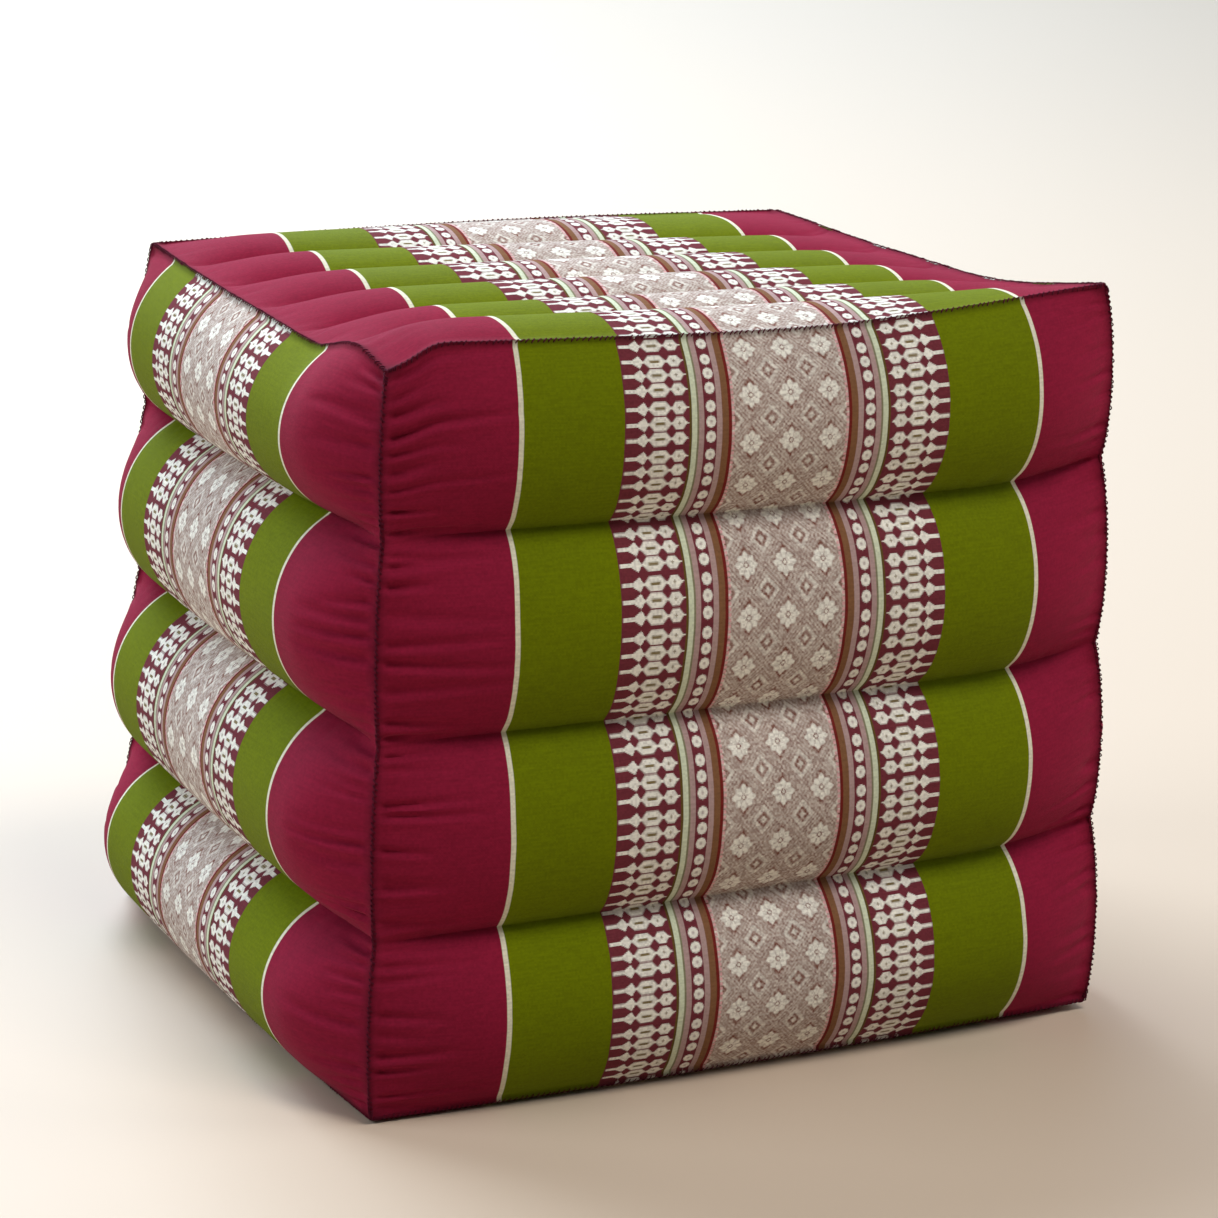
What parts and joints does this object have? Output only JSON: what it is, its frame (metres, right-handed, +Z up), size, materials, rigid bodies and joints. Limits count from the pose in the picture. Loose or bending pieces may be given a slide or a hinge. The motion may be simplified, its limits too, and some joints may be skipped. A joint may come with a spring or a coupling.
{
  "type": "cube cushion",
  "caption": "Filled cloth cube to sit on or rest the feet on, with stitched channels round its sides, a ribbed top, woven bands and overcast seams.",
  "frame": {"origin": "on the floor, under the middle of the overall size", "axes": "+Z up, front panel towards -Y, ribs of the top along X"},
  "size_m": [0.3858, 0.3544, 0.3272],
  "materials": {
    "woven_cotton": "matt cotton with woven bands"
  },
  "bodies": {
    "root": {"cushion": "woven_cotton"}
  },
  "joints": []
}
